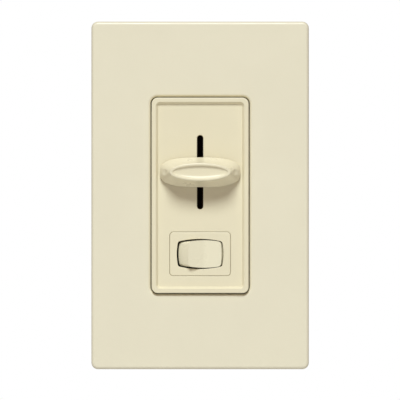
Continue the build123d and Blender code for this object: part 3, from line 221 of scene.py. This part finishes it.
# Dark plastics, boards and fibre
BLACK = linear(22, 22, 23)
case_look = plastic("case_black", BLACK, rough=0.48, grain=0.25, depth=0.012, tint=0.2)
base_look = plastic("base_black", BLACK, rough=0.5, grain=0.12, depth=0.008, tint=0.15)
carriage_look = plastic("carriage_black", BLACK, rough=0.5, grain=0.1, depth=0.006, tint=0.15)
moulded_look = plastic("moulded_black", BLACK, rough=0.55, grain=0.1, depth=0.01, tint=0.15)
track_look = plastic("carbon_track", linear(32, 32, 34), rough=0.45, grain=0.05, depth=0.004, tint=0.15)
shield_look = plastic("fibre_black", linear(16, 16, 17), rough=0.7, grain=0.1, depth=0.01, tint=0.15)
fibre_look = plastic("fibre_red", linear(128, 52, 34), rough=0.75, grain=0.15, depth=0.03, tint=0.12)
phenolic_look = plastic("phenolic", linear(118, 76, 42), rough=0.55, grain=0.4, depth=0.01, tint=0.12)
board_look = plastic("board_laminate", linear(176, 142, 84), rough=0.45, grain=0.3, depth=0.006, tint=0.08)

# Coatings and bodies of the small parts
nylon_look = plastic("plunger_nylon", linear(228, 226, 216), rough=0.42, grain=0.15, depth=0.004, tint=0.03)
ferrite_look = plastic("core_grey", linear(88, 90, 94), rough=0.6, grain=0.2, depth=0.02, tint=0.1)
film_look = plastic("capacitor_yellow", linear(222, 182, 62), rough=0.35, grain=0.3, depth=0.004, tint=0.05)
green_look = plastic("capacitor_green", linear(52, 104, 68), rough=0.4, grain=0.3, depth=0.004, tint=0.08)
resistor_look = plastic("resistor_body", linear(204, 178, 134), rough=0.4, grain=0.2, depth=0.004, tint=0.05)
diac_look = plastic("diac_blue", linear(52, 84, 140), rough=0.3, grain=0.2, depth=0.003, tint=0.05)
mica_look = plastic("mica_grey", linear(196, 192, 184), rough=0.3, grain=0.5, depth=0.004, tint=0.1)

# Metals
strap_look = metal("strap_aluminium", linear(214, 214, 216), rough=0.34, stretch=(1, 1, 0.03), depth=0.004)
rivet_look = metal("rivet_aluminium", linear(212, 212, 214), rough=0.3)
screw_look = metal("screw_steel", linear(190, 190, 188), rough=0.3, stain=0.15)
ground_look = metal("ground_green", linear(42, 128, 70), rough=0.3, stain=0.2)
pot_look = metal("pot_steel", linear(188, 188, 184), rough=0.35, stretch=(1, 1, 0.08), depth=0.004)
spring_look = metal("spring_steel", linear(176, 176, 178), rough=0.25, stretch=(1, 0.1, 1), depth=0.002)
wiper_look = metal("spring_bronze", linear(212, 160, 96), rough=0.25, stretch=(0.1, 1, 1), depth=0.002)
brass_look = metal("terminal_brass", linear(214, 178, 102), rough=0.27, stain=0.15)
blade_look = metal("blade_brass", linear(222, 188, 118), rough=0.24, stretch=(1, 1, 0.1), depth=0.002)
tin_look = metal("tinned_legs", linear(205, 205, 202), rough=0.32)
silver_look = metal("contact_silver", linear(228, 228, 226), rough=0.2, depth=0.001)
copper_look = metal("enamelled_copper", linear(184, 92, 44), rough=0.22, depth=0.002)

looks = {
    plate_look: ["wall_plate"],
    face_look: ["face_bezel"],
    knob_look: ["slider_knob"],
    rocker_look: ["rocker_button"],
    surround_look: ["rocker_surround"],
    adapter_look: ["plate_adapter"],
    case_look: ["rear_case"],
    base_look: ["switch_base"],
    carriage_look: ["pot_carriage"],
    moulded_look: ["triac_body"],
    track_look: ["pot_tracks"],
    shield_look: ["slot_shield"],
    fibre_look: ["screw_retainers"],
    phenolic_look: ["pot_track_board"],
    board_look: ["circuit_board"],
    nylon_look: ["rocker_plunger"],
    ferrite_look: ["choke_core"],
    film_look: ["film_capacitor"],
    green_look: ["timing_capacitors"],
    resistor_look: ["resistors"],
    diac_look: ["diac"],
    mica_look: ["triac_insulator"],
    strap_look: ["mounting_strap"],
    rivet_look: ["triac_rivet"],
    screw_look: ["adapter_screws", "box_screws", "case_screws"],
    ground_look: ["ground_screw"],
    pot_look: ["pot_frame"],
    spring_look: ["rocker_spring"],
    wiper_look: ["pot_wiper"],
    brass_look: ["terminal_screws", "terminal_clamps", "terminal_plates"],
    blade_look: ["contact_blade", "centre_terminal", "fixed_terminal"],
    tin_look: ["pot_terminals", "triac_tab"],
    silver_look: ["moving_contact", "fixed_contact"],
    copper_look: ["choke_winding"],
}
for look, names in looks.items():
    for name in names:
        nodes[name].data.materials.clear()
        nodes[name].data.materials.append(look)


# Mesh tools

# Edges that turn more than this are shown sharp
SHARP = math.radians(32)


def new_piece(name, bm, body, look, replaced):
    """Put a mesh in the scene on a body, in place of a CAD node, shaded smooth with sharp edges kept."""
    mesh = bpy.data.meshes.new(name)
    bmesh.ops.recalc_face_normals(bm, faces=bm.faces)
    bm.to_mesh(mesh)
    bm.free()
    piece = bpy.data.objects.new(name, mesh)
    piece.data.materials.append(look)
    scene.collection.objects.link(piece)
    mesh.shade_smooth()
    mesh.set_sharp_from_angle(angle=SHARP)
    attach(piece, body)
    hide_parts(replaced)
    return piece


def skin(bm, rows):
    """Join rows of points, each a closed loop, into a tube with closed ends."""
    loops = [[bm.verts.new(point * MM) for point in row] for row in rows]
    count = len(loops[0])
    for low, high in zip(loops, loops[1:]):
        for i in range(count):
            j = (i + 1) % count
            bm.faces.new((low[i], low[j], high[j], high[i]))
    bm.faces.new(loops[0])
    bm.faces.new(reversed(loops[-1]))


def extent(node):
    """Low and high corners of a node's box."""
    low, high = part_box(node)
    return [c / MM for c in low], [c / MM for c in high]


# Knob: a superellipse skirt drawn up to an oval rim, with a dish in its front, a thumb scoop in each end and
# a hollow behind. Pairs are half sizes along X and Z. A power says how square an outline is, and 2 makes it
# an oval.
KNOB_STEPS = 192
SIDE_ROWS = 36
RIM_ROWS = 8
DISH_ROWS = 24
OVAL = 2.0
SKIRT_POWER = 2.9
SKIRT_TALL = 1.0
SKIRT_EDGE = 0.12
BELLY = 0.35
RIM = (10.3, 3.05)
RIM_ROUND = 0.45
DISH = (9.35, 2.25)
DISH_LIP = 0.1
DISH_DROP = 0.04
DISH_DEPTH = 0.85
DISH_MIDDLE = 0.02
SCOOP_R = 6.0
SCOOP_DEPTH = 0.3
HOLLOW = (10.0, 2.9)
HOLLOW_POWER = 5.0
HOLLOW_DEPTH = 3.4
HOLLOW_DRAFT = 0.5
HOLLOW_MIDDLE = (0.2, 0.1)

low, high = extent("slider_knob")
knob_back, knob_front = -high[1], -low[1]
knob_z = (low[2] + high[2]) / 2
skirt = ((high[0] - low[0]) / 2, (high[2] - low[2]) / 2)
rise = knob_front - knob_back - SKIRT_TALL
run = skirt[0] - RIM[0]
lean = math.hypot(rise, run)


def knob_row(half, height, power=OVAL):
    """Closed outline with these half sizes, at this height in front of the wall."""
    row = []
    for i in range(KNOB_STEPS):
        turn = math.tau * i / KNOB_STEPS
        c, s = math.cos(turn), math.sin(turn)
        stretch = (abs(c) ** power + abs(s) ** power) ** (-1 / power)
        row.append(Vector((half[0] * c * stretch, -height, knob_z + half[1] * s * stretch)))
    return row


def side_outline(share):
    """Half sizes and power at a share of the way from the skirt to the rim, with the long sides drawn in."""
    half_long = skirt[0] + (RIM[0] - skirt[0]) * share
    half_tall = skirt[1] + (RIM[1] - skirt[1]) * share - BELLY * math.sin(math.pi * share)
    return (half_long, half_tall), SKIRT_POWER + (OVAL - SKIRT_POWER) * share


def scooped(point):
    """The point, or where the ball that sinks into the middle of each end pushes it along X."""
    out = SCOOP_R - SCOOP_DEPTH
    x = (skirt[0] + RIM[0]) / 2 + out * rise / lean
    height = knob_front - rise / 2 + out * run / lean
    reach = SCOOP_R ** 2 - (point.y + height) ** 2 - (point.z - knob_z) ** 2
    if reach > 0 and abs(point.x) > x - math.sqrt(reach):
        point.x = math.copysign(x - math.sqrt(reach), point.x)
    return point


def hollow_rows():
    """Rows from the middle of the hollow's roof to its mouth."""
    roof = knob_back + HOLLOW_DEPTH
    return [knob_row(HOLLOW_MIDDLE, roof),
            knob_row([h - HOLLOW_DRAFT for h in HOLLOW], roof, HOLLOW_POWER),
            knob_row(HOLLOW, knob_back, HOLLOW_POWER)]


def skirt_rows():
    """Rows round the skirt's back edge and up its sides."""
    return [knob_row([h - SKIRT_EDGE for h in skirt], knob_back, SKIRT_POWER),
            knob_row(skirt, knob_back + SKIRT_EDGE, SKIRT_POWER),
            knob_row(skirt, knob_back + SKIRT_TALL, SKIRT_POWER)]


def side_rows():
    """Rows up the scooped sides, then round the rim to the front."""
    rows = []
    last = 1 - RIM_ROUND / rise
    for k in range(1, SIDE_ROWS + 1):
        share = last * k / SIDE_ROWS
        half, power = side_outline(share)
        rows.append([scooped(point) for point in knob_row(half, knob_front - rise * (1 - share), power)])
    for k in range(1, RIM_ROWS + 1):
        turn = math.pi / 2 * k / RIM_ROWS
        inset = RIM_ROUND * (1 - math.cos(turn))
        rows.append(knob_row([h - inset for h in half], knob_front - RIM_ROUND * (1 - math.sin(turn))))
    return rows


def dish_rows():
    """Rows over the dish's lip and down to its middle. The square root makes its floor broad and flat."""
    rows = [knob_row([h + DISH_LIP for h in DISH], knob_front)]
    for k in range(DISH_ROWS + 1):
        turn = math.pi / 2 * k / DISH_ROWS
        spread = max(DISH_MIDDLE, math.cos(turn) ** 0.5)
        height = knob_front - DISH_DROP - DISH_DEPTH * math.sin(turn)
        rows.append(knob_row([h * spread for h in DISH], height))
    return rows


bm = bmesh.new()
skin(bm, hollow_rows() + skirt_rows() + side_rows() + dish_rows())
new_piece("knob_cap", bm, "slider", knob_look, "slider_knob")


# Screw tools, with a 6-32 thread whose tip narrows
ROUND_STEPS = 40
THREAD_PITCH = 25.4 / 32
THREAD_ROWS = 8
THREAD_R = 1.75
ROOT_R = 1.38
FLANK_SHARE = 0.45
TIP_LONG = 0.8
TIP_TAPER = 0.5
SLIT_WIDTH = 0.9


def circle(matrix, height, radius):
    """Points round an axis, where the radius may be a function of the turn."""
    points = []
    for i in range(ROUND_STEPS):
        turn = math.tau * i / ROUND_STEPS
        r = radius(turn) if callable(radius) else radius
        points.append(matrix @ Vector((r * math.cos(turn), r * math.sin(turn), height)))
    return points


def thread_rows(matrix, tip, top):
    """Rows of a screw thread from its narrowed tip to where it runs out under the neck."""
    rows = []
    count = int((top - tip) / THREAD_PITCH * THREAD_ROWS)
    for k in range(count + 1):
        height = tip + (top - tip) * k / count
        fade = max(0.0, min(1.0, (height - tip) / THREAD_PITCH, (top - height) / THREAD_PITCH))
        taper = max(0.0, 1 - (height - tip) / TIP_LONG) * TIP_TAPER

        def radius(turn):
            phase = (height / THREAD_PITCH - turn / math.tau) % 1.0
            crest = max(0.0, 1 - abs(phase - 0.5) / FLANK_SHARE)
            return ROOT_R + (THREAD_R - ROOT_R) * crest * fade - taper

        rows.append(circle(matrix, height, radius))
    return rows


def slit(piece, matrix, size):
    """Cut a screwdriver slit with a box of this size."""
    bm = bmesh.new()
    bmesh.ops.create_cube(bm, size=1.0)
    for v in bm.verts:
        v.co = (matrix @ Vector([c * k for c, k in zip(v.co, size)])) * MM
    tool_mesh = bpy.data.meshes.new("slit_tool")
    bm.to_mesh(tool_mesh)
    bm.free()
    tool = bpy.data.objects.new("slit_tool", tool_mesh)
    scene.collection.objects.link(tool)
    step = piece.modifiers.new("slit", "BOOLEAN")
    step.operation = "DIFFERENCE"
    step.solver = "EXACT"
    step.object = tool
    bpy.context.view_layer.update()
    cut = bpy.data.meshes.new_from_object(piece.evaluated_get(bpy.context.evaluated_depsgraph_get()))
    piece.modifiers.clear()
    piece.data = cut
    cut.set_sharp_from_angle(angle=SHARP)
    bpy.data.objects.remove(tool)


def screws(name, node, look, axes, tip, top, neck, head, deep):
    """Threaded, slotted screws in place of a node's plain ones.

    Each axis is a matrix whose Z runs towards the head. The thread goes from the tip to the top, a neck of
    the given (height, radius) pairs follows, and the head's own pairs end at its front. The slit's depth is
    given as deep.
    """
    bm = bmesh.new()
    for axis in axes:
        smooth = [circle(axis, height, radius) for height, radius in neck + head]
        skin(bm, thread_rows(axis, tip, top) + smooth)
    piece = new_piece(name, bm, "housing", look, node)
    front = head[-1][0]
    wide = max(radius for _, radius in head)
    for axis in axes:
        slit(piece, axis @ Matrix.Translation((0, 0, front)), (3 * wide, SLIT_WIDTH, 2 * deep))


def axis_to(origin, direction):
    """Matrix whose Z runs along a direction from an origin."""
    return Matrix.Translation(Vector(origin)) @ Vector(direction).to_track_quat("Z", "Y").to_matrix().to_4x4()


def upright_pair(low, high, head_r):
    """Axes that point out of the wall, of the screws at the top and the bottom of a box."""
    return [axis_to((0, 0, z), (0, -1, 0)) for z in (low[2] + head_r, high[2] - head_r)]


# Box screws: necked under their domed heads, with heights in front of the wall. Each pair of the dome is
# a depth behind the front and a share of the head's radius.
BOX_HEAD_R = 3.15
BOX_HEAD_TALL = 2.1
BOX_DOME = ((0.9, 1.0), (0.55, 0.97), (0.26, 0.9), (0.07, 0.8), (0.0, 0.71))
BOX_THREAD_TOP = -0.9
BOX_NECK_START = -0.85
BOX_NECK_R = 1.4
BOX_SLIT_DEEP = 1.1

low, high = extent("box_screws")
front, tip = -low[1], -high[1]
under = front - BOX_HEAD_TALL
neck = [(BOX_NECK_START, BOX_NECK_R), (under, BOX_NECK_R)]
head = [(under, BOX_HEAD_R)] + [(front - depth, share * BOX_HEAD_R) for depth, share in BOX_DOME]
screws("box_screw_threads", "box_screws", screw_look, upright_pair(low, high, BOX_HEAD_R),
       tip, BOX_THREAD_TOP, neck, head, BOX_SLIT_DEEP)

# Adapter screws: flat heads with their cone down to the thread
FLAT_HEAD_R = 2.95
FLAT_HEAD_EDGE = 0.12
CONE_TALL = 1.3
CONE_R = 1.7
FLAT_THREAD_DOWN = 1.4
FLAT_SLIT_DEEP = 0.7

low, high = extent("adapter_screws")
front, tip = -low[1], -high[1]
neck = [(front - CONE_TALL, CONE_R)]
head = [(front - FLAT_HEAD_EDGE, FLAT_HEAD_R), (front, FLAT_HEAD_R)]
screws("adapter_screw_threads", "adapter_screws", screw_look, upright_pair(low, high, FLAT_HEAD_R),
       tip, front - FLAT_THREAD_DOWN, neck, head, FLAT_SLIT_DEEP)

# Terminal screws: flat-topped round heads on both sides of the case, with heights from its middle plane
TERMINAL_TIP = 12.8
TERMINAL_HEAD_TALL = 2.1
TERMINAL_HEAD_EDGE = 0.35
TERMINAL_NECK_TALL = 0.05
TERMINAL_THREAD_DOWN = 0.1
TERMINAL_SLIT_DEEP = 1.1

low, high = extent("terminal_screws")
head_r = (high[2] - low[2]) / 2
middle = [(a + b) / 2 for a, b in zip(low, high)]
front = high[0]
under = front - TERMINAL_HEAD_TALL
neck = [(under - TERMINAL_NECK_TALL, ROOT_R)]
head = [(under, head_r), (front - TERMINAL_HEAD_EDGE, head_r), (front, head_r - TERMINAL_HEAD_EDGE)]
screws("terminal_screw_threads", "terminal_screws", brass_look,
       [axis_to((0, middle[1], middle[2]), (side, 0, 0)) for side in (-1, 1)],
       TERMINAL_TIP, under - TERMINAL_THREAD_DOWN, neck, head, TERMINAL_SLIT_DEEP)


# Choke winding: two layers of enamelled wire round most of the ring, each so far off the core, and two leads
WIRE_R = 0.42
WIRE_SIDES = 8
TURNS = 30
TURN_STEPS = 28
TURN_POWER = 4
LAYERS = (0.5, 1.45)
WOUND_FROM = 30
WOUND_OVER = 300
RING_HALF_WIDE = 2.3
LEAD_R = 0.35
LEAD_STEPS = 4
LEAD_OUT = 8.4
LEAD_ASIDE = 2.0

low, high = extent("choke_winding")
core_low, core_high = extent("choke_core")
centre = Vector([(a + b) / 2 for a, b in zip(core_low, core_high)])
ring_r = (core_high[0] - core_low[0]) / 2 - RING_HALF_WIDE
ring_half_deep = (core_high[1] - core_low[1]) / 2


def winding_point(share, offset):
    """Point on the wire at a share of the winding, this far off the core."""
    round_core = math.tau * TURNS * share
    along_ring = math.radians(WOUND_FROM + WOUND_OVER * share)
    c, s = math.cos(round_core), math.sin(round_core)
    squareness = (abs(c) ** TURN_POWER + abs(s) ** TURN_POWER) ** (-1 / TURN_POWER)
    out = ring_r + (RING_HALF_WIDE + offset) * c * squareness
    deep = (ring_half_deep + offset) * s * squareness
    return centre + Vector((out * math.cos(along_ring), deep, out * math.sin(along_ring)))


def wire(bm, points, radius):
    """Tube along a run of points."""
    turns = [math.tau * k / WIRE_SIDES for k in range(WIRE_SIDES)]
    rows = []
    for i, point in enumerate(points):
        ahead = points[min(i + 1, len(points) - 1)] - points[max(i - 1, 0)]
        across = ahead.to_track_quat("Z", "Y").to_matrix()
        rows.append([point + across @ Vector((radius * math.cos(t), radius * math.sin(t), 0)) for t in turns])
    skin(bm, rows)


bm = bmesh.new()
steps = TURNS * TURN_STEPS
for layer in LAYERS:
    wire(bm, [winding_point(i / steps, layer) for i in range(steps + 1)], WIRE_R)
for z in (centre[2] - LEAD_OUT, centre[2] + LEAD_OUT):
    depths = [low[1] + (centre[1] - low[1]) * k / LEAD_STEPS for k in range(LEAD_STEPS)]
    wire(bm, [Vector((centre[0] + LEAD_ASIDE, depth, z)) for depth in depths], LEAD_R)
new_piece("choke_turns", bm, "housing", copper_look, "choke_winding")


# Floor, in metres
FLOOR_HALF_WIDE = 0.6
FLOOR_FRONT = -0.6
FLOOR_BACK = 0.42
FLOOR_Z = -0.1

floor_look = plastic("floor_paint", linear(235, 235, 233), rough=0.7, grain=2.0, depth=0.02, tint=0.01)
bm = bmesh.new()
for x, y in ((-FLOOR_HALF_WIDE, FLOOR_FRONT), (FLOOR_HALF_WIDE, FLOOR_FRONT),
             (FLOOR_HALF_WIDE, FLOOR_BACK), (-FLOOR_HALF_WIDE, FLOOR_BACK)):
    bm.verts.new((x, y, FLOOR_Z))
bm.faces.new(bm.verts)
mesh = bpy.data.meshes.new("floor")
bm.to_mesh(mesh)
bm.free()
floor = bpy.data.objects.new("floor", mesh)
floor.data.materials.append(floor_look)
scene.collection.objects.link(floor)


# Key light: one soft round lamp above, in front and a little to the left, with its place and width in metres
KEY_PLACE = (-0.12, -1.68, 1.72)
KEY_WIDTH = 0.95
KEY_WATTS = 53.0
KEY_COLOR = (0.94, 1.0, 1.01)

data = bpy.data.lights.new("key", "AREA")
data.shape = "DISK"
data.size = KEY_WIDTH
data.energy = KEY_WATTS
data.color = KEY_COLOR
key = bpy.data.objects.new("key", data)
key.location = KEY_PLACE
key.rotation_euler = (-Vector(KEY_PLACE)).to_track_quat("-Z", "Y").to_euler()
scene.collection.objects.link(key)


# World: a dim warm fill from all round, and white where the camera looks past everything
FILL_COLOR = (1.0, 0.62, 0.45, 1)
FILL_STRENGTH = 0.14
BACKDROP_COLOR = (1, 1, 1, 1)

world = bpy.data.worlds.new("studio")
world.use_nodes = True
tree = world.node_tree
tree.nodes.clear()
out = tree.nodes.new("ShaderNodeOutputWorld")
seen = tree.nodes.new("ShaderNodeBackground")
seen.inputs["Color"].default_value = BACKDROP_COLOR
fill = tree.nodes.new("ShaderNodeBackground")
fill.inputs["Color"].default_value = FILL_COLOR
fill.inputs["Strength"].default_value = FILL_STRENGTH
path = tree.nodes.new("ShaderNodeLightPath")
blend = tree.nodes.new("ShaderNodeMixShader")
tree.links.new(path.outputs["Is Camera Ray"], blend.inputs[0])
tree.links.new(fill.outputs[0], blend.inputs[1])
tree.links.new(seen.outputs[0], blend.inputs[2])
tree.links.new(blend.outputs[0], out.inputs[0])
scene.world = world
scene.view_settings.view_transform = "Standard"


# Camera: straight on, this far from the wall. Its view has this width and this middle at the plate's front.
DISTANCE = 1200
VIEW_WIDTH = 136.56
VIEW_MIDDLE = (-0.041, -1.57)
SENSOR_WIDTH = 36
NEAREST = 50

lens = bpy.data.cameras.new("camera")
lens.sensor_width = SENSOR_WIDTH
lens.lens = SENSOR_WIDTH * (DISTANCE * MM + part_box("wall_plate")[0][1]) / (VIEW_WIDTH * MM)
lens.clip_start = NEAREST * MM
camera = bpy.data.objects.new("camera", lens)
camera.location = (VIEW_MIDDLE[0] * MM, -DISTANCE * MM, VIEW_MIDDLE[1] * MM)
camera.rotation_euler = (math.radians(90), 0, 0)
scene.collection.objects.link(camera)
scene.camera = camera
